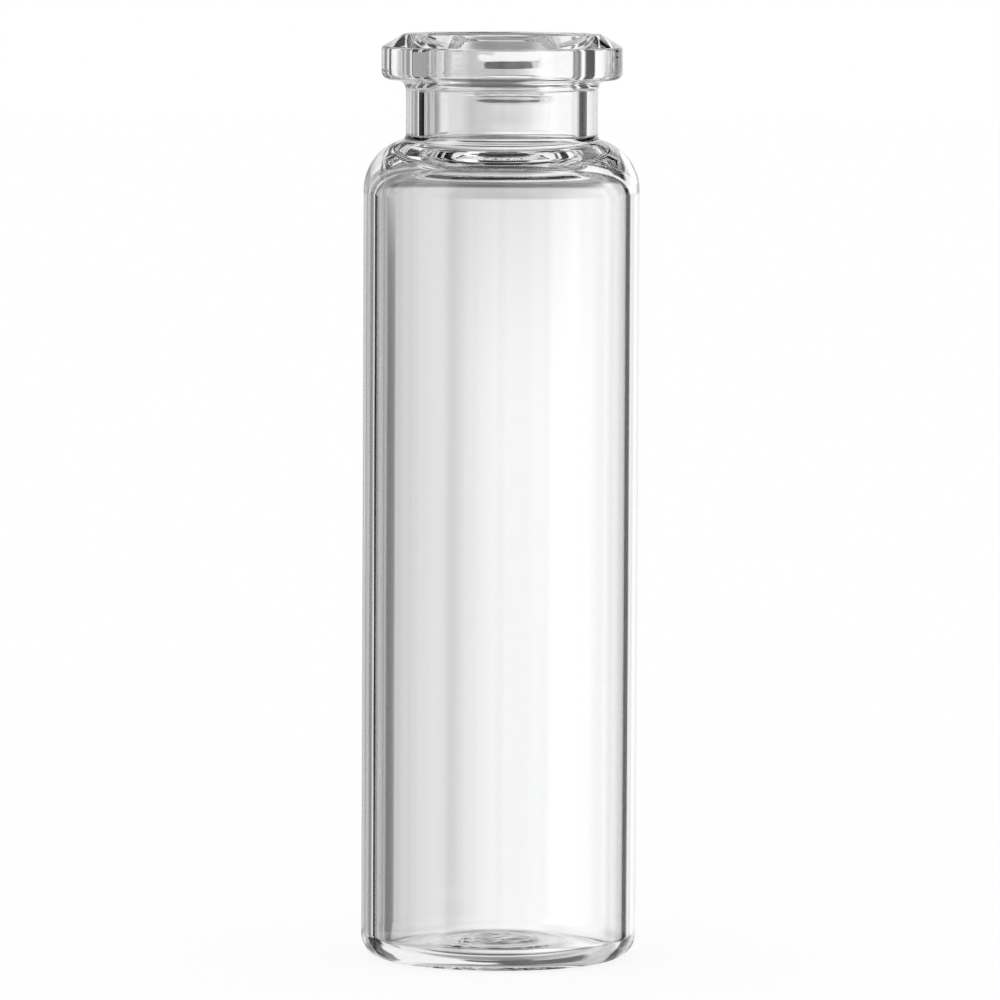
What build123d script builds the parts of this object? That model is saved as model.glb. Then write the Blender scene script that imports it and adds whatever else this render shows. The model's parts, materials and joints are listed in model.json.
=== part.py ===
from build123d import *
import os
from math import radians, tan

# A clear glass sample vial with a beaded lip for a 20 mm crimp cap, in millimetres.
# It is drawn glass tube, worked hot at both ends, so it is one turned solid in one piece.
# The axis is Z, and the vial stands on a narrow ring at z = 0 with its mouth up.

# Body
vial_height = 75.5
body_diameter = 22.5
wall_thickness = 1.08

# Base: a flat standing ring, a middle that is pushed up, and a thicker navel inside
floor_thickness = 0.75
standing_ring_width = 1.0
push_up_height = 0.6
push_up_slope = 12.0
heel_radius = 1.75
inner_heel_radius = 1.8
base_blend_radius = 6.0
navel_diameter = 4.4
navel_height = 0.22
navel_blend_radius = 5.0

# Shoulder and neck
neck_diameter = 15.65
neck_length = 4.8
bore_diameter = 12.5
shoulder_radius = 4.25
shoulder_slope = 17.0
shoulder_thickness = 1.45
inner_shoulder_slope = 14.0
inner_shoulder_radius = 2.7
neck_root_radius = 0.5
bore_end_radius = 1.6

# Lip
lip_diameter = 19.65
lip_height = 3.75
lip_root_radius = 0.9
lip_edge_radius = 0.7
bevel_height = 1.1
bevel_width = 1.8
bevel_edge_radius = 0.3
mouth_edge_radius = 1.0

# Radii of the walls
body_radius = body_diameter / 2
inner_radius = body_radius - wall_thickness
neck_radius = neck_diameter / 2
bore_radius = bore_diameter / 2
lip_radius = lip_diameter / 2
navel_radius = navel_diameter / 2

# Heights of the shoulder and the lip
lip_underside = vial_height - lip_height
neck_root = lip_underside - neck_length
shoulder_edge = neck_root - (body_radius - neck_radius) * tan(radians(shoulder_slope))
bore_end = neck_root - shoulder_thickness
inner_shoulder_edge = bore_end - (inner_radius - bore_radius) * tan(radians(inner_shoulder_slope))

# Radii where the base leaves its ring and where its middle levels out
ring_radius = body_radius - heel_radius - standing_ring_width
crown_radius = ring_radius - push_up_height / tan(radians(push_up_slope))
crown_height = floor_thickness + push_up_height
navel_foot_radius = navel_radius + navel_height / tan(radians(push_up_slope))


def outside_corners():
    """Sharp corners of the outside, from the middle of the base to the mouth, with their radii."""
    return [
        ((crown_radius, push_up_height), base_blend_radius),
        ((ring_radius, 0), base_blend_radius),
        ((body_radius, 0), heel_radius),
        ((body_radius, shoulder_edge), shoulder_radius),
        ((neck_radius, neck_root), neck_root_radius),
        ((neck_radius, lip_underside), lip_root_radius),
        ((lip_radius, lip_underside), lip_edge_radius),
        ((lip_radius, vial_height - bevel_height), bevel_edge_radius),
        ((lip_radius - bevel_width, vial_height), bevel_edge_radius),
        ((bore_radius, vial_height), mouth_edge_radius),
    ]


def inside_corners():
    """Sharp corners of the inside, from the bore down to the navel, with their radii."""
    return [
        ((bore_radius, bore_end), bore_end_radius),
        ((inner_radius, inner_shoulder_edge), inner_shoulder_radius),
        ((inner_radius, floor_thickness), inner_heel_radius),
        ((ring_radius, floor_thickness), base_blend_radius),
        ((crown_radius, crown_height), base_blend_radius),
        ((navel_foot_radius, crown_height), navel_blend_radius),
        ((navel_radius, crown_height + navel_height), navel_blend_radius),
    ]


def tangent_length(before, corner, after, radius):
    """Length of each side that an arc of this radius takes from a corner."""
    turn = (Vector(*corner) - Vector(*before)).get_angle(Vector(*after) - Vector(*corner))
    return radius * tan(radians(turn) / 2)


def fitted_radii(points, wanted):
    """The wanted radii, each made smaller only where two arcs would meet on a short side."""
    inner = range(1, len(points) - 1)
    lengths = [tangent_length(*points[i - 1 : i + 2], wanted[i - 1]) for i in inner]
    taken = [0] + lengths + [0]
    shares = []
    for i in range(len(points) - 1):
        side = (Vector(*points[i + 1]) - Vector(*points[i])).length
        shares.append(min(1, 0.98 * side / (taken[i] + taken[i + 1])))
    return [radius * min(shares[i], shares[i + 1]) for i, radius in enumerate(wanted)]


def section():
    """Half of the vial's section, from the axis outwards."""
    corners = outside_corners() + inside_corners()
    under_middle = (0, push_up_height)
    floor_middle = (0, crown_height + navel_height)
    points = [under_middle] + [point for point, radius in corners] + [floor_middle]
    radii = fitted_radii(points, [radius for point, radius in corners])
    outline = FilletPolyline(*points, radius=radii)
    axis_side = Line(floor_middle, under_middle)
    return make_face([*outline.edges(), axis_side])


vial = revolve(Plane.XZ * section(), axis=Axis.Z)

os.makedirs("parts", exist_ok=True)
export_step(vial, "parts/vial.step")
print("volume in mm3:", round(vial.volume, 1))
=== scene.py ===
# %% [markdown]
# # A clear glass sample vial
#
# This lesson dresses one glass vial for its photograph. The shape was built at its real size in
# CAD, and it comes in here as a fixed frame. Clear glass has no colour of its own, so its whole
# look comes from three things: how thick its walls are at each height, how smooth or wavy its
# surfaces are, and what stands round it in the studio. We take the studio first, then the shape,
# and the finish last.

# %% Load the frame
import json
import math

import bpy
import numpy as np
from mathutils import Matrix, Vector


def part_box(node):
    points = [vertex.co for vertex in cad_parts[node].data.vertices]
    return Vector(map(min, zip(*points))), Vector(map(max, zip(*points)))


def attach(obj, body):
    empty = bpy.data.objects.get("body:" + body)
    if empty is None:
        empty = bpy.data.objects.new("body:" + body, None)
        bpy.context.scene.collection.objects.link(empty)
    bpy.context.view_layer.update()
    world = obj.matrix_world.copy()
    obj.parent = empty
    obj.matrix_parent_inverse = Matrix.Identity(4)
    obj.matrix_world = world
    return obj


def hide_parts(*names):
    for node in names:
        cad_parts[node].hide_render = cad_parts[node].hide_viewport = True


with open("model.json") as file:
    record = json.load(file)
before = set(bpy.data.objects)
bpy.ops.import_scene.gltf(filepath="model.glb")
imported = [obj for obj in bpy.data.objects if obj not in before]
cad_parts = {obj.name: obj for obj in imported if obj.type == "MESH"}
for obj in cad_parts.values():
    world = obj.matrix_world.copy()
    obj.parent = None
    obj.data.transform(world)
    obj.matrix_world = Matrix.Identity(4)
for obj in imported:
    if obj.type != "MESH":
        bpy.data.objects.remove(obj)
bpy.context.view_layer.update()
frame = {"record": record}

MM = 0.001

vial_low, vial_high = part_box("vial")
mounts = {mount["name"]: mount for mount in frame["record"]["mounts"]}
scene = bpy.context.scene
print("mounts:", sorted(mounts))

# %% [markdown]
# ## The camera
#
# The vial was photographed from about two thirds of a metre away with a very long lens, a little
# from above, so that the mouth is almost edge on and the base shows as a thin oval. We could
# frame it with a short lens from nearby, but then the tube would taper and the ovals would
# open, and no lens setting would mend that. So the distance and the height come first, found
# from how much rounder the oval of the base is than that of the mouth, and the lens only frames
# the picture. The small roll is the tilt that the picture itself has.

# %% Place the camera
CAMERA_DISTANCE = 0.6391
CAMERA_HEIGHT = 0.0908
CAMERA_SIDESTEP = -0.00002
CAMERA_PITCH = math.radians(4.773)
CAMERA_ROLL = math.radians(0.268)
PICTURE_PIXELS = 1000
FOCAL_PIXELS = 7847
SENSOR_WIDTH = 36.0
NEAREST_SEEN = 0.05
FARTHEST_SEEN = 20.0

camera_data = bpy.data.cameras.new("long_lens")
camera_data.sensor_width = SENSOR_WIDTH
camera_data.lens = SENSOR_WIDTH * FOCAL_PIXELS / PICTURE_PIXELS
camera_data.clip_start = NEAREST_SEEN
camera_data.clip_end = FARTHEST_SEEN
camera = bpy.data.objects.new("camera", camera_data)
scene.collection.objects.link(camera)
scene.camera = camera

level_right = Vector((1, 0, 0))
tilted_up = Vector((0, math.sin(CAMERA_PITCH), math.cos(CAMERA_PITCH)))
right = level_right * math.cos(CAMERA_ROLL) + tilted_up * math.sin(CAMERA_ROLL)
up = tilted_up * math.cos(CAMERA_ROLL) - level_right * math.sin(CAMERA_ROLL)
place = Matrix.Translation((CAMERA_SIDESTEP, -CAMERA_DISTANCE, CAMERA_HEIGHT))
camera.matrix_world = place @ Matrix((right, up, right.cross(up))).transposed().to_4x4()
print("lens in mm:", round(camera_data.lens, 1))

# %% [markdown]
# ## The studio
#
# A photographer lights clear glass by what stands behind and beside it. White paper stands
# behind the vial. Dark flags stand at both sides, just out of the picture, and their images are
# squeezed into the thick edges of the tube as dark lines, which is what makes the shape of
# clear glass visible at all. We could model each card and lamp, but they would also stand in the
# way of the other views. So the world holds the studio as a ring of panels that are infinitely
# far away, each named by the direction in which it stands. Zero degrees is behind the vial,
# positive angles go round to the right, and heights are in degrees above the horizon.
#
# First we need a few small helpers that build node arithmetic.

# %% Node helpers
def maths(tree, operation, *values):
    """One maths node, whose inputs may be numbers or the outputs of other nodes."""
    node = tree.nodes.new("ShaderNodeMath")
    node.operation = operation
    for index, value in enumerate(values):
        if isinstance(value, (int, float)):
            node.inputs[index].default_value = value
        else:
            tree.links.new(value, node.inputs[index])
    return node.outputs[0]


def soft_step(tree, value, middle, width):
    """0 below the step and 1 above it, with a smooth change between."""
    node = tree.nodes.new("ShaderNodeMapRange")
    node.interpolation_type = "SMOOTHSTEP"
    tree.links.new(value, node.inputs["Value"])
    node.inputs["From Min"].default_value = middle - width / 2
    node.inputs["From Max"].default_value = middle + width / 2
    return node.outputs["Result"]


def between(tree, value, edges, softness):
    """1 between two soft edges and 0 outside them."""
    past_start = soft_step(tree, value, edges[0], softness[0])
    past_end = soft_step(tree, value, edges[1], softness[1])
    return maths(tree, "SUBTRACT", past_start, past_end)


def blended(tree, cover, below, above):
    """A number that changes from one value to another where the cover is 1."""
    node = tree.nodes.new("ShaderNodeMix")
    tree.links.new(cover, node.inputs["Factor"])
    for socket, value in (("A", below), ("B", above)):
        if isinstance(value, (int, float)):
            node.inputs[socket].default_value = value
        else:
            tree.links.new(value, node.inputs[socket])
    return node.outputs["Result"]


# %% Directions in the studio
# The seam is the direction at which the turn jumps by a full circle, kept clear of all sides.
SEAM = 100
FULL_TURN = 360
DEGREES = 180 / math.pi

world = bpy.data.worlds.new("studio")
scene.world = world
world.use_nodes = True
sky = world.node_tree
sky.nodes.clear()

direction = sky.nodes.new("ShaderNodeTexCoord").outputs["Generated"]
parts = sky.nodes.new("ShaderNodeSeparateXYZ")
sky.links.new(direction, parts.inputs[0])
to_right, to_back, upward = parts.outputs
turn = maths(sky, "MULTIPLY", maths(sky, "ARCTAN2", to_right, to_back), DEGREES)
around = maths(sky, "WRAP", turn, SEAM, SEAM - FULL_TURN)
height = maths(sky, "MULTIPLY", maths(sky, "ARCSINE", upward), DEGREES)
print("the ring of panels runs from", SEAM - FULL_TURN, "to", SEAM, "degrees")

# %% [markdown]
# Each panel has a brightness, the directions of its two sides, the softness of those sides, and
# its lower and upper edge with their softness. The sheet behind the vial is the brightest large
# thing, the cards on the left are greyer, and the black flags have the crispest sides, because
# those sides become the fine lines in the glass.

# %% List the panels
ROOM = 0.92
PAST_THE_SEAM = 40
EVERYWHERE = (SEAM - FULL_TURN - PAST_THE_SEAM, SEAM + PAST_THE_SEAM)

PANELS = [
    # name, brightness, sides, softness of the sides, lower and upper edge, their softness
    ("dark left of the room", 0.0, (-185, -55), (12, 3), (-18, 60), (6, 6)),
    ("soft box, front left", 1.8, (-133, -100), (8, 6), (-40, 50), (6, 6)),
    ("pale wall, left", 0.85, (-100, -80), (6, 6), (-120, 50), (6, 6)),
    ("pale strip, far left", 1.0, (-59.5, -57), (1, 3), (-40, 50), (6, 6)),
    ("black flag, back left", 0.0, (-53, -38.5), (2, 1), (-18, 60), (6, 6)),
    ("grey card above the flag", 0.33, (-68, -40), (3, 1), (-1.75, 14), (0.2, 6)),
    ("grey card, left", 0.28, (-35, -24), (5, 3), (-18, 50), (6, 6)),
    ("pale card, left", 0.56, (-25, -18), (1, 5), (-18, 50), (6, 6)),
    ("grey strip, left", 0.3, (-18, -13), (1, 3), (-18, 50), (6, 6)),
    ("dark edge of a card", 0.26, (-13, -8.6), (1, 2), (-18, -2.6), (6, 1)),
    ("grey sheet behind", 0.61, (-9, -1.4), (1, 7), (-18, 50), (6, 6)),
    ("white sheet behind", 1.03, (-1, 32), (2, 2), (-18, 50), (6, 6)),
    ("shade at the top of the sheet", 0.6, (-14, 5), (8, 10), (-2.2, 50), (4, 6)),
    ("shade over the sheet", 0.15, (-15, 6), (8, 6), (14, 50), (5, 6)),
    ("dark foot of the sheet", 0.06, (-6, 9), (3, 3), (-22, -17), (3, 2)),
    ("shade under the cards", 0.15, (-36, -22), (3, 3), (-31, -22), (3, 3)),
    ("dark foot of the cards", 0.0, (-46, -17), (3, 3), (-24, -13.5), (4, 2)),
    ("dark bar over the sheet", 0.04, (7, 27), (6, 3), (20.5, 29.5), (3, 3)),
    ("black flag, back right", 0.03, (33, 55), (4, 7), (-18, 60), (6, 6)),
    ("lamp, right", 1.1, (57, 60), (1, 4), (-50, 50), (6, 6)),
    ("grey card, right", 0.15, (63, 71), (6, 4), (-18, 50), (6, 6)),
    ("gap between the lamps", 0.35, (-240, -220), (7, 13), (-10, 50), (6, 6)),
    ("grey card, front right", 0.5, (-206, -186), (14, 4), (-50, 40), (6, 6)),
    ("grey table, right", 0.6, (4, 62), (4, 8), (-120, -23), (6, 6)),
    ("grey foot of the flag", 0.4, (9, 34), (6, 4), (-24, -10.5), (3, 2)),
    ("dark foot of the flag", 0.04, (17, 32), (3, 3), (-25, -15), (3, 3)),
    ("grey front of the table", 0.3, (-11, 11), (8, 8), (-50, -27), (6, 4)),
    ("shaded table, right", 0.12, (-1, 68), (10, 8), (-120, -44), (6, 8)),
    ("shade under the vial", 0.08, EVERYWHERE, (1, 1), (-120, -73), (6, 6)),
    ("dark ceiling", 0.03, EVERYWHERE, (1, 1), (50, 66), (6, 6)),
    ("dark ceiling over the camera", 0.03, (-235, -130), (10, 10), (36, 80), (6, 6)),
]
print("panels:", len(PANELS))

# %% [markdown]
# Each panel covers a patch of directions. Inside it, the panel's brightness takes the place of
# what was there, so later panels stand in front of earlier ones. We start from the room itself.

# %% Lay the panels over each other
studio_light = ROOM
for name, brightness, sides, softness, edges, edge_softness in PANELS:
    cover = maths(
        sky,
        "MULTIPLY",
        between(sky, around, sides, softness),
        between(sky, height, edges, edge_softness),
    )
    studio_light = blended(sky, cover, studio_light, brightness)
print("nodes in the studio so far:", len(sky.nodes))

# %% [markdown]
# The camera should see plain white behind the vial, and the floor should be lit evenly, so both
# get a strength of one. Only the rays that the glass reflects or bends look at the panels. The
# Light Path node tells these rays apart.

# %% Let only the glass see the panels
WHITE = (1, 1, 1, 1)

light_path = sky.nodes.new("ShaderNodeLightPath")
through_glass = maths(
    sky,
    "MAXIMUM",
    light_path.outputs["Is Glossy Ray"],
    light_path.outputs["Is Transmission Ray"],
)
plain_light = sky.nodes.new("ShaderNodeBackground")
plain_light.inputs["Color"].default_value = WHITE
plain_light.inputs["Strength"].default_value = 1.0
panel_light = sky.nodes.new("ShaderNodeBackground")
panel_light.inputs["Color"].default_value = WHITE
sky.links.new(studio_light, panel_light.inputs["Strength"])
world_mix = sky.nodes.new("ShaderNodeMixShader")
sky.links.new(through_glass, world_mix.inputs[0])
sky.links.new(plain_light.outputs[0], world_mix.inputs[1])
sky.links.new(panel_light.outputs[0], world_mix.inputs[2])
world_output = sky.nodes.new("ShaderNodeOutputWorld")
sky.links.new(world_mix.outputs[0], world_output.inputs["Surface"])
print("nodes in the studio:", len(sky.nodes))

# %% [markdown]
# ## The floor
#
# The real vial stands on white paper that fades into the background without an edge. A plain
# white floor would show a horizon, so we mix its paper with a little glow of its own: it then
# reaches full white under the studio light and still keeps a faint shadow under the vial. The
# glass doesn't see this floor, because the studio ring already holds the table that shows
# through the base.

# %% Lay the floor
FLOOR_SIZE = 4.0
FLOOR_DROP = 0.02 * MM
PAPER_COLOUR = (0.98, 0.98, 0.98, 1)
GLOW_SHARE = 0.88

bpy.ops.mesh.primitive_plane_add(size=FLOOR_SIZE, location=(0, 0, -FLOOR_DROP))
floor = bpy.context.object
floor.name = "floor"
floor.visible_transmission = False
floor.visible_glossy = False

floor_finish = bpy.data.materials.new("white_paper")
floor_finish.use_nodes = True
paper_tree = floor_finish.node_tree
paper_tree.nodes.clear()
paper = paper_tree.nodes.new("ShaderNodeBsdfDiffuse")
paper.inputs["Color"].default_value = PAPER_COLOUR
glow = paper_tree.nodes.new("ShaderNodeEmission")
glow.inputs["Color"].default_value = WHITE
glow.inputs["Strength"].default_value = 1.0
paper_mix = paper_tree.nodes.new("ShaderNodeMixShader")
paper_mix.inputs[0].default_value = GLOW_SHARE
paper_tree.links.new(paper.outputs[0], paper_mix.inputs[1])
paper_tree.links.new(glow.outputs[0], paper_mix.inputs[2])
paper_output = paper_tree.nodes.new("ShaderNodeOutputMaterial")
paper_tree.links.new(paper_mix.outputs[0], paper_output.inputs["Surface"])
floor.data.materials.append(floor_finish)
print("floor side in m:", FLOOR_SIZE)

# %% [markdown]
# ## The outline of the glass
#
# The real vial starts as a drawn glass tube, and both its ends are formed in a flame while it
# turns, so every section through it is the same. We could keep the CAD solid and only give it a
# glass finish, but its surface is made of flat facets, and each facet would bend the light a
# little wrong. So we turn the same section again, far more finely, and give each point the exact
# direction of the surface. The height, the body, the bore and the lip are read from the frame,
# and the other sizes, in millimetres, are the ones that the solid has.

# %% Sizes from the frame
vial_height = (vial_high[2] - vial_low[2]) / MM
body_radius = mounts["body_tube"]["dims"]["r_mm"]
bore_radius = mounts["mouth"]["dims"]["r_mm"]
lip_radius = mounts["crimp_lip"]["dims"]["r_mm"]
print("height", round(vial_height, 2), "body", round(2 * body_radius, 2), "bore", 2 * bore_radius)

# %% [markdown]
# The base is pushed up in the middle, so that the vial stands on a narrow ring and doesn't rock.
# Where the flame sealed the tube, a small navel is left on the floor inside. The heel between
# the ring and the wall is round, because hot glass pulls itself round.

# %% Sizes of the base
wall_thickness = 1.08
floor_thickness = 0.75
standing_ring_width = 1.0
push_up_height = 0.6
push_up_slope = math.radians(12)
heel_radius = 1.75
inner_heel_radius = 1.8
base_blend_radius = 6.0
navel_radius = 2.2
navel_height = 0.22
navel_blend_radius = 5.0

inner_radius = body_radius - wall_thickness
ring_radius = body_radius - heel_radius - standing_ring_width
crown_radius = ring_radius - push_up_height / math.tan(push_up_slope)
crown_height = floor_thickness + push_up_height
navel_foot_radius = navel_radius + navel_height / math.tan(push_up_slope)
floor_middle = crown_height + navel_height
print("the base is pushed up inside a radius of", round(ring_radius, 2), "mm")

# %% [markdown]
# A crimp cap grips under the lip, so the lip has a flat underside and a bevelled top, where the
# septum seals. The neck and the shoulder below it are squeezed from the tube, so their wall is
# thicker than the body's.

# %% Sizes of the shoulder, neck and lip
neck_radius = 7.825
neck_length = 4.8
shoulder_radius = 4.25
shoulder_slope = math.radians(17)
shoulder_thickness = 1.45
inner_shoulder_slope = math.radians(14)
inner_shoulder_radius = 2.7
neck_root_radius = 0.5
bore_end_radius = 1.6
lip_height = 3.75
lip_root_radius = 0.9
lip_edge_radius = 0.7
bevel_height = 1.1
bevel_width = 1.8
bevel_edge_radius = 0.3
mouth_edge_radius = 1.0

lip_underside = vial_height - lip_height
neck_root = lip_underside - neck_length
shoulder_edge = neck_root - (body_radius - neck_radius) * math.tan(shoulder_slope)
bore_end = neck_root - shoulder_thickness
inner_shoulder_edge = bore_end - (inner_radius - bore_radius) * math.tan(inner_shoulder_slope)
print("shoulder from", round(shoulder_edge, 2), "to", round(neck_root, 2), "mm up")

# %% [markdown]
# The outline is a list of sharp corners, each with the radius that rounds it. It starts on the
# axis under the base, climbs the outside to the mouth, and comes down the inside to the floor.

# %% Corners of the outline
CORNERS = [
    # radius from the axis, height, rounding
    (crown_radius, push_up_height, base_blend_radius),
    (ring_radius, 0, base_blend_radius),
    (body_radius, 0, heel_radius),
    (body_radius, shoulder_edge, shoulder_radius),
    (neck_radius, neck_root, neck_root_radius),
    (neck_radius, lip_underside, lip_root_radius),
    (lip_radius, lip_underside, lip_edge_radius),
    (lip_radius, vial_height - bevel_height, bevel_edge_radius),
    (lip_radius - bevel_width, vial_height, bevel_edge_radius),
    (bore_radius, vial_height, mouth_edge_radius),
    (bore_radius, bore_end, bore_end_radius),
    (inner_radius, inner_shoulder_edge, inner_shoulder_radius),
    (inner_radius, floor_thickness, inner_heel_radius),
    (ring_radius, floor_thickness, base_blend_radius),
    (crown_radius, crown_height, base_blend_radius),
    (navel_foot_radius, crown_height, navel_blend_radius),
    (navel_radius, floor_middle, navel_blend_radius),
]
outline_points = np.array(
    [(0, push_up_height)] + [corner[:2] for corner in CORNERS] + [(0, floor_middle)]
)
print("corners:", len(CORNERS))

# %% [markdown]
# To round a corner we cut the same length from both its sides and join the cuts with an arc.
# Where two arcs would meet on a short side, both are made a little smaller. Each point also
# keeps the direction in which the outline travels there, because we need it for the light.

# %% Round the corners
ARC_STEP = math.radians(5)
FEWEST_ARC_PARTS = 3
LARGEST_SHARE = 0.98


def unit(vector):
    """The same direction, 1 long."""
    return vector / np.linalg.norm(vector)


def turned_by(vector, angle):
    """A flat vector, turned to the left."""
    cosine, sine = math.cos(angle), math.sin(angle)
    return np.array([cosine * vector[0] - sine * vector[1], sine * vector[0] + cosine * vector[1]])


def rounded(points, radii):
    """Rows of radius, height and travel direction along an outline with rounded corners."""
    lengths = [np.linalg.norm(b - a) for a, b in zip(points, points[1:])]
    sides = [unit(b - a) for a, b in zip(points, points[1:])]
    turns = [math.atan2(a[0] * b[1] - a[1] * b[0], a @ b) for a, b in zip(sides, sides[1:])]
    cuts = [0] + [r * math.tan(abs(turn) / 2) for r, turn in zip(radii, turns)] + [0]
    shares = [
        min(1, LARGEST_SHARE * length / (before + after))
        for length, before, after in zip(lengths, cuts, cuts[1:])
    ]
    rows = [(*points[0], *sides[0])]
    for i, turn in enumerate(turns):
        share = min(shares[i], shares[i + 1])
        start = points[i + 1] - sides[i] * cuts[i + 1] * share
        to_centre = turned_by(sides[i], math.copysign(math.pi / 2, turn)) * radii[i] * share
        count = max(FEWEST_ARC_PARTS, math.ceil(abs(turn) / ARC_STEP))
        for angle in np.linspace(0, turn, count + 1):
            point = start + to_centre - turned_by(to_centre, angle)
            rows.append((*point, *turned_by(sides[i], angle)))
    rows.append((*points[-1], *sides[-1]))
    return np.array(rows)


outline = rounded(outline_points, [corner[2] for corner in CORNERS])
print("points along the outline:", len(outline))

# %% [markdown]
# The flame leaves small waves where it worked the glass. To give them room we add points along
# the neck, the lip and the floor, and leave the straight body as it is.

# %% Add points where the glass is wavy
BORE_STEP = 0.11
LIP_STEP = 0.2
FLOOR_STEP = 0.22
ABOVE_NECK_ROOT = 0.4
ABOVE_FLOOR_MIDDLE = 1.2

wavy_neck = neck_root + ABOVE_NECK_ROOT
wavy_floor = floor_middle + ABOVE_FLOOR_MIDDLE


def step_length(row):
    """The longest step allowed from this point of the outline."""
    if row[1] > wavy_neck:
        return BORE_STEP if row[0] < bore_radius + BORE_STEP else LIP_STEP
    if floor_thickness / 2 < row[1] < wavy_floor and row[0] < ring_radius:
        return FLOOR_STEP
    return body_radius


def refined(rows):
    """The same outline with more points on the sides that need them."""
    result = [rows[0]]
    for before, after in zip(rows, rows[1:]):
        length = np.linalg.norm(after[:2] - before[:2])
        step = min(step_length(before), step_length(after))
        count = max(1, math.ceil(length / step))
        for part in range(1, count + 1):
            result.append(before + (after - before) * part / count)
    return np.array(result)


outline = refined(outline)
print("rings:", len(outline) - 2)

# %% [markdown]
# The waves need to know where each point is: how far along the outline, which way its surface
# faces, and whether it lies inside the vial. The mouth parts the outside from the inside.

# %% Measure along the outline
# The top of the lip is level, so among its highest points the mouth is where it faces up most.
FACING_UP_COUNTS = 0.001

radius_of = outline[:, 0]
height_of = outline[:, 1]
along = outline[:, 2:] / np.linalg.norm(outline[:, 2:], axis=1)[:, None]
outward = np.stack([along[:, 1], -along[:, 0]], axis=1)
steps_along = np.linalg.norm(np.diff(outline[:, :2], axis=0), axis=1)
travelled = np.concatenate([[0], np.cumsum(steps_along)])
mouth_index = int(np.argmax(height_of + outward[:, 1] * FACING_UP_COUNTS))
inside = np.arange(len(outline)) > mouth_index
print("outline length in mm:", round(travelled[-1], 1), "rings inside:", int(inside.sum()))

# %% [markdown]
# ## The waves that the flame left
#
# Seen closely, the lip and the upper neck aren't perfect: rollers press the hot glass there, and
# their marks run round it as shallow waves, a few hundredths of a millimetre deep. Each wave is
# a weak lens, so it shows as a light or dark streak. A bump in the finish could hint at them,
# but refraction needs the real shape, so we move the surface itself. The waves are sums of
# sines in height, which swell and fade round the neck, and a fixed seed keeps them the same.

# %% A wave that runs round the glass
AROUND_STEPS = 240
SEED = 12
MOST_LOBES = 3

random = np.random.RandomState(SEED)
angle_of = np.arange(AROUND_STEPS) * 2 * math.pi / AROUND_STEPS


def ring_waves(wavelengths, tilt, unevenness):
    """Waves with crests that run round the axis, for each ring and each angle, about 1 high."""
    total = np.zeros((len(outline), AROUND_STEPS))
    for wavelength in wavelengths:
        start, lean, swell = random.uniform(0, 2 * math.pi, 3)
        lobes = random.randint(1, MOST_LOBES + 1)
        crest = height_of[:, None] + tilt * np.sin(angle_of + lean)[None, :]
        strength = 1 + unevenness * np.sin(lobes * angle_of + swell)[None, :]
        total += strength * np.sin(2 * math.pi * crest / wavelength + start)
    return total / len(wavelengths)


print("angle steps:", AROUND_STEPS)

# %% [markdown]
# Each kind of wave has its own place. It fades in above or below an edge of the vial, over the
# distances given here in millimetres. All of them also fade towards the left and the right,
# where we look along the walls, because there they would break up the straight dark lines.

# %% Places of the waves
LIP_FADE = (0.1, 0.6)
WORKED_FADE = (-1.9, -1.2)
NECK_FADE = (0.6, 1.4)
MOUTH_FADE = (-1.2, -0.6)
FACING_POWER = 8


def smooth_step(value, start, end):
    """0 before the start and 1 after the end, for numbers in an array."""
    part = np.clip((value - start) / (end - start), 0, 1)
    return part * part * (3 - 2 * part)


def above(level, fade):
    """0 below a level and 1 above it, changing between two distances from the level."""
    return smooth_step(height_of, level + fade[0], level + fade[1])[:, None]


bore = inside[:, None]
outer_lip = ~bore * above(lip_underside, LIP_FADE)
outer_neck = ~bore & (height_of < lip_underside - lip_root_radius / 2)[:, None]
facing = np.sin(angle_of)[None, :] ** FACING_POWER
worked = above(lip_underside, WORKED_FADE)
on_neck = above(neck_root, NECK_FADE)
below_mouth = 1 - above(vial_height, MOUTH_FADE)
on_lip = outer_lip * below_mouth * facing
on_bore = bore * below_mouth * facing
print("wavy rings of the bore:", int((bore * worked > 0).sum()))

# %% [markdown]
# The rollers leave fine waves on the lip, in the bore and on the upper neck. The bore also sways
# in and out slowly, because nothing held the soft glass there while it was squeezed.

# %% Waves of the lip and the neck
LIP_WAVES = 0.012
LIP_WAVELENGTHS = (0.62, 0.95, 1.7)
BORE_WAVES = 0.018
BORE_WAVELENGTHS = (0.55, 0.83, 1.4)
BORE_SWAY = 0.02
SWAY_WAVELENGTHS = (4.1, 5.7)
NECK_WAVES = 0.01
NECK_WAVELENGTHS = (0.7, 1.1)

offsets = np.zeros((len(outline), AROUND_STEPS))
lip_waves = ring_waves(LIP_WAVELENGTHS, tilt=0.15, unevenness=0.6)
offsets += on_lip * LIP_WAVES * (lip_waves - 1)
bore_waves = ring_waves(BORE_WAVELENGTHS, tilt=0.2, unevenness=0.7)
offsets += on_bore * worked * BORE_WAVES * bore_waves
bore_sway = ring_waves(SWAY_WAVELENGTHS, tilt=0.8, unevenness=0.8)
offsets += on_bore * on_neck * BORE_SWAY * bore_sway
neck_waves = ring_waves(NECK_WAVELENGTHS, tilt=0.1, unevenness=0.5)
offsets += outer_neck * worked * facing * NECK_WAVES * neck_waves
print("deepest wave in mm:", round(float(np.abs(offsets).max()), 3))

# %% [markdown]
# The marks are strongest at the back, where the jaws of the machine closed on the neck. A ridge
# runs across the bore half way up the lip, and two finer ones run under it. On the lower side of
# each ridge the glass gets thicker upwards. That side bends the light up to the shade over the
# sheet, so it shows as a dark streak. We could let the ridges run all the way round, but then the
# dark lines at the two sides of the neck would break up, and on the real vial they run straight.
# All heights here are in millimetres above the underside of the lip.

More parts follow.
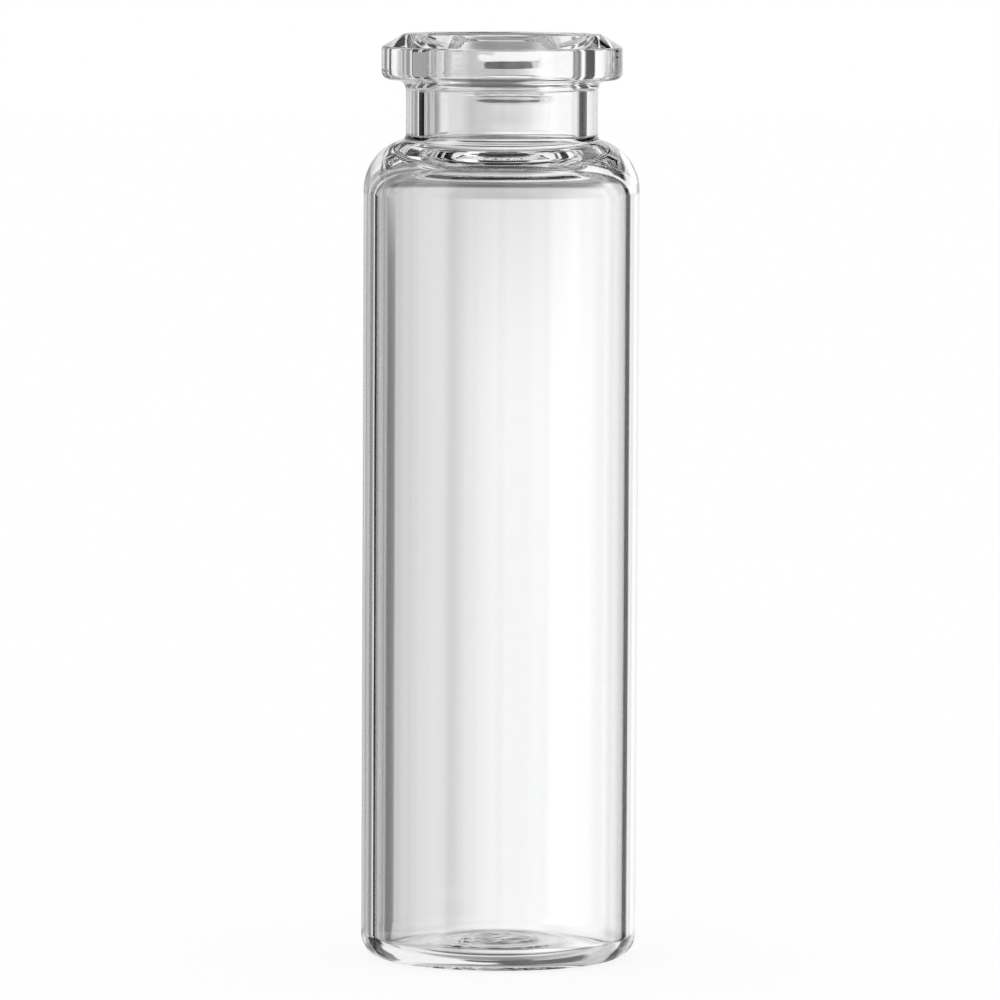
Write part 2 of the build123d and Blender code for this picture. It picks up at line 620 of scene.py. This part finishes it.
# %% Ridges at the back of the bore
RIDGE_DEPTH = 0.42
RIDGE_BOTTOM = 0.88
RIDGE_SLOPES = (0.48, 1.0)
RIDGE_HALF_ANGLE = math.radians(24)
FINE_RIDGE_DEPTH = 0.36
FINE_RIDGE_BOTTOMS = (-1.25, -1.95)
FINE_RIDGE_SLOPES = (0.44, 0.24)
FINE_RIDGE_HALF_ANGLE = math.radians(34)
RIDGE_DIRECTION = math.radians(84)
RIDGE_END_POWER = 6
RIDGE_WANDER = ((0.04, 5), (0.025, 19))
CORNER_SOFTNESS = 0.05


def soft_positive(value):
    """The value where it is above zero and zero below, with a rounded corner."""
    return (value + np.sqrt(value**2 + CORNER_SOFTNESS**2)) / 2


def ridge(bottom, slopes, half_angle):
    """A ridge that climbs to 1 over the first length and falls over the second."""
    wander = sum(size * np.sin(lobes * angle_of) for size, lobes in RIDGE_WANDER)
    above_bottom = height_of[:, None] - lip_underside - bottom + wander[None, :]
    climb = soft_positive(above_bottom) / slopes[0]
    turn_back = soft_positive(above_bottom - slopes[0]) * (1 / slopes[0] + 1 / slopes[1])
    level_out = soft_positive(above_bottom - sum(slopes)) / slopes[1]
    from_middle = (angle_of - RIDGE_DIRECTION + math.pi) % (2 * math.pi) - math.pi
    window = np.exp(-((from_middle / half_angle) ** RIDGE_END_POWER))[None, :]
    return (climb - turn_back + level_out) * window


ridges = RIDGE_DEPTH * ridge(RIDGE_BOTTOM, RIDGE_SLOPES, RIDGE_HALF_ANGLE)
for fine_bottom in FINE_RIDGE_BOTTOMS:
    ridges += FINE_RIDGE_DEPTH * ridge(fine_bottom, FINE_RIDGE_SLOPES, FINE_RIDGE_HALF_ANGLE)
offsets += bore * below_mouth * ridges
print("highest ridge in mm:", round(float(ridges.max()), 3))

# %% [markdown]
# The top of the lip was rounded in the flame while the tube turned, and it isn't quite even all
# the way round. Small swellings there, a few millimetres apart, break up the reflections on the
# bevel and round the mouth. They are sines round the axis. Their numbers of lobes have no common
# factor, so the pattern never repeats on the way round.

# %% Swellings round the mouth
MOUTH_SWELLING = 0.035
OUTER_SHARE = 0.5
SWELLING_FADE = (-1.3, -0.5)
BORE_LOBES = (5, 8, 13, 17)
LIP_LOBES = (6, 9, 14)


def swellings(lobes_list):
    """Gentle swellings round the axis, the same at each height."""
    total = np.zeros(AROUND_STEPS)
    for lobes in lobes_list:
        total += np.sin(lobes * angle_of + random.uniform(0, 2 * math.pi))
    return total[None, :] / len(lobes_list)


near_mouth = above(vial_height, SWELLING_FADE)
offsets += bore * near_mouth * MOUTH_SWELLING * (swellings(BORE_LOBES) - 1)
offsets += outer_lip * near_mouth * MOUTH_SWELLING * OUTER_SHARE * (swellings(LIP_LOBES) - 1)
print("swellings of the mouth in mm:", MOUTH_SWELLING)

# %% [markdown]
# The floor inside was the last spot to be sealed. Rings spread from the navel as on a pond, and
# the push-up under it is smooth, because it was pressed against a cool pin.

# %% Ripples on the floor
FLOOR_RIPPLE = 0.012
RIPPLE_LENGTH = 1.15
RIPPLE_CENTRE = (-1.2, 0.3)
RIPPLE_REACH = 4
CALM_EDGE = 3

on_floor = bore & ((height_of < wavy_floor) & (radius_of < ring_radius))[:, None]
x_of = radius_of[:, None] * np.cos(angle_of)[None, :]
y_of = radius_of[:, None] * np.sin(angle_of)[None, :]
from_centre = np.hypot(x_of - RIPPLE_CENTRE[0], y_of - RIPPLE_CENTRE[1])
ripple = np.sin(2 * math.pi * from_centre / RIPPLE_LENGTH) * np.exp(-from_centre / RIPPLE_REACH)
off_edge = 1 - smooth_step(radius_of, ring_radius - CALM_EDGE, ring_radius)[:, None]
offsets += on_floor * off_edge * FLOOR_RIPPLE * ripple
print("floor ripples in mm:", FLOOR_RIPPLE)

# %% [markdown]
# ## Turn the outline into glass
#
# Now the outline goes round the axis. We could smooth a coarse mesh with a modifier, but it would
# soften the tight corners of the lip. So every ring of points is joined to the next one by a band
# of four-sided faces, and the two ends close on the axis with a small fan. Each point gets the
# direction of the wavy surface as its own normal: the outline's direction, leant back by the
# slope of the waves. With these normals the light bends as on a truly curved surface.

# %% Points and normals
SMALLEST_RADIUS = 0.05

slope_along = np.gradient(offsets, travelled, axis=0)
wrapped = np.concatenate([offsets[:, -1:], offsets, offsets[:, :1]], axis=1)
angle_step = 2 * math.pi / AROUND_STEPS
safe_radius = np.maximum(radius_of, SMALLEST_RADIUS)[:, None]
slope_around = (wrapped[:, 2:] - wrapped[:, :-2]) / (2 * angle_step * safe_radius)

wave_radius = radius_of[:, None] + outward[:, :1] * offsets
wave_height = height_of[:, None] + outward[:, 1:] * offsets
normal_radial = outward[:, :1] - along[:, :1] * slope_along
normal_up = outward[:, 1:] - along[:, 1:] * slope_along
cosines = np.cos(angle_of)[None, :]
sines = np.sin(angle_of)[None, :]
positions = np.stack([wave_radius * cosines, wave_radius * sines, wave_height], axis=2) * MM
normals = np.stack(
    [
        normal_radial * cosines + slope_around * sines,
        normal_radial * sines - slope_around * cosines,
        normal_up,
    ],
    axis=2,
)
normals /= np.linalg.norm(normals, axis=2)[:, :, None]
print("steepest wave in degrees:", round(math.degrees(math.atan(np.abs(slope_along).max())), 1))

# %% Join the rings with faces
def turned_mesh(name, positions, normals):
    """One closed mesh from rings of points, whose first and last ring are single points."""
    rings, steps = len(positions) - 2, positions.shape[1]
    points = [positions[0, 0], *positions[1:-1].reshape(-1, 3), positions[-1, 0]]
    directions = [normals[0].mean(0), *normals[1:-1].reshape(-1, 3), normals[-1].mean(0)]
    top = len(points) - 1
    following = [(j + 1) % steps for j in range(steps)]
    faces = [(0, 1 + following[j], 1 + j) for j in range(steps)]
    for ring in range(rings - 1):
        near, far = 1 + ring * steps, 1 + (ring + 1) * steps
        faces += [
            (near + j, near + following[j], far + following[j], far + j) for j in range(steps)
        ]
    last = 1 + (rings - 1) * steps
    faces += [(last + j, last + following[j], top) for j in range(steps)]
    mesh = bpy.data.meshes.new(name)
    mesh.from_pydata([tuple(p) for p in points], [], faces)
    mesh.polygons.foreach_set("use_smooth", [True] * len(mesh.polygons))
    mesh.normals_split_custom_set_from_vertices([tuple(n) for n in directions])
    mesh.update()
    return mesh


vial = bpy.data.objects.new("glass_vial", turned_mesh("glass_vial", positions, normals))
scene.collection.objects.link(vial)
triangles = sum(len(face.vertices) - 2 for face in vial.data.polygons)
print("triangles:", triangles)

# %% [markdown]
# ## Clear glass
#
# Borosilicate glass bends light a little less than window glass, with an index of 1.473, and it
# has hardly any tint. We could use the plain Glass shader, but the Principled one is what other
# programs read too, so the finish is one Principled shader with full transmission. Left plain it
# would look like water, so the next two cells give it the marks that drawn tube has.

# %% Start the glass
GLASS_INDEX = 1.473

glass = bpy.data.materials.new("clear_glass")
glass.use_nodes = True
glass_tree = glass.node_tree
shader = glass_tree.nodes["Principled BSDF"]
shader.inputs["Transmission Weight"].default_value = 1.0
shader.inputs["IOR"].default_value = GLASS_INDEX
print("glass index:", GLASS_INDEX)

# %% [markdown]
# Drawn tube has faint lines along its length, where the die scratched the soft glass. They are
# about a thousandth of a millimetre deep. We could cut them into the mesh, but it would need
# millions of faces, so a noise that is stretched along the axis leans the surface by a hair.

# %% Scratch the draw lines
DRAW_LINE_WIDTH = 0.7 * MM
DRAW_LINE_STRETCH = 60
DRAW_LINE_DETAIL = 2
DRAW_LINE_DEPTH = 0.0012 * MM

place_on_glass = glass_tree.nodes.new("ShaderNodeTexCoord").outputs["Object"]


def noise(scale, stretch, detail):
    """A noise over the glass, stretched along the axis."""
    mapping = glass_tree.nodes.new("ShaderNodeMapping")
    mapping.inputs["Scale"].default_value = (1, 1, 1 / stretch)
    glass_tree.links.new(place_on_glass, mapping.inputs["Vector"])
    node = glass_tree.nodes.new("ShaderNodeTexNoise")
    node.inputs["Scale"].default_value = scale
    node.inputs["Detail"].default_value = detail
    glass_tree.links.new(mapping.outputs[0], node.inputs["Vector"])
    return node.outputs["Fac"]


draw_lines = noise(1 / DRAW_LINE_WIDTH, DRAW_LINE_STRETCH, DRAW_LINE_DETAIL)
bump = glass_tree.nodes.new("ShaderNodeBump")
bump.inputs["Distance"].default_value = DRAW_LINE_DEPTH
glass_tree.links.new(draw_lines, bump.inputs["Height"])
glass_tree.links.new(bump.outputs["Normal"], shader.inputs["Normal"])
print("draw lines apart in mm:", round(DRAW_LINE_WIDTH / MM, 2))

# %% [markdown]
# Glass that has been handled isn't equally bright all over. We could leave the roughness at one
# low value, but then every reflection would look the same. A second noise lets the roughness and
# the tint drift by a tiny amount.

# %% Add the haze and the tint
HAZE = 0.02
HAZE_SCALE = 120
HAZE_STRETCH = 2
HAZE_DETAIL = 3
HAZE_MIDDLE = 0.62
HAZE_WIDTH = 0.2
TINT = (0.985, 0.992, 0.99, 1)

handled = noise(HAZE_SCALE, HAZE_STRETCH, HAZE_DETAIL)
hazy = soft_step(glass_tree, handled, HAZE_MIDDLE, HAZE_WIDTH)
roughness = maths(glass_tree, "MULTIPLY", hazy, HAZE)
glass_tree.links.new(roughness, shader.inputs["Roughness"])
tint = glass_tree.nodes.new("ShaderNodeMix")
tint.data_type = "RGBA"
glass_tree.links.new(handled, tint.inputs["Factor"])
colour_inputs = [socket for socket in tint.inputs if socket.type == "RGBA"]
colour_inputs[0].default_value = WHITE
colour_inputs[1].default_value = TINT
colour_output = next(socket for socket in tint.outputs if socket.type == "RGBA")
glass_tree.links.new(colour_output, shader.inputs["Base Color"])

vial.data.materials.append(glass)
print("highest roughness:", HAZE)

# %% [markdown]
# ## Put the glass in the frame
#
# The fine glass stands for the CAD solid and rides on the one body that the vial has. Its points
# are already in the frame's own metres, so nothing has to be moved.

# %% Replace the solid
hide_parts("vial")
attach(vial, "root")
print("pieces in the frame:", vial.name)

# %% [markdown]
# ## Let the light through
#
# A ray that crosses both walls of a vial and turns round inside its thick lip meets glass a
# dozen times or more. If we stopped it early, it would come back black, so we allow it enough
# bounces. The picture is shown with the Standard view, which leaves the tones as they are.

# %% Light bounces and tones
GLASS_BOUNCES = 24

scene.view_settings.view_transform = "Standard"
scene.cycles.max_bounces = GLASS_BOUNCES
scene.cycles.transmission_bounces = GLASS_BOUNCES
scene.cycles.glossy_bounces = GLASS_BOUNCES
print("bounces through the glass:", GLASS_BOUNCES)
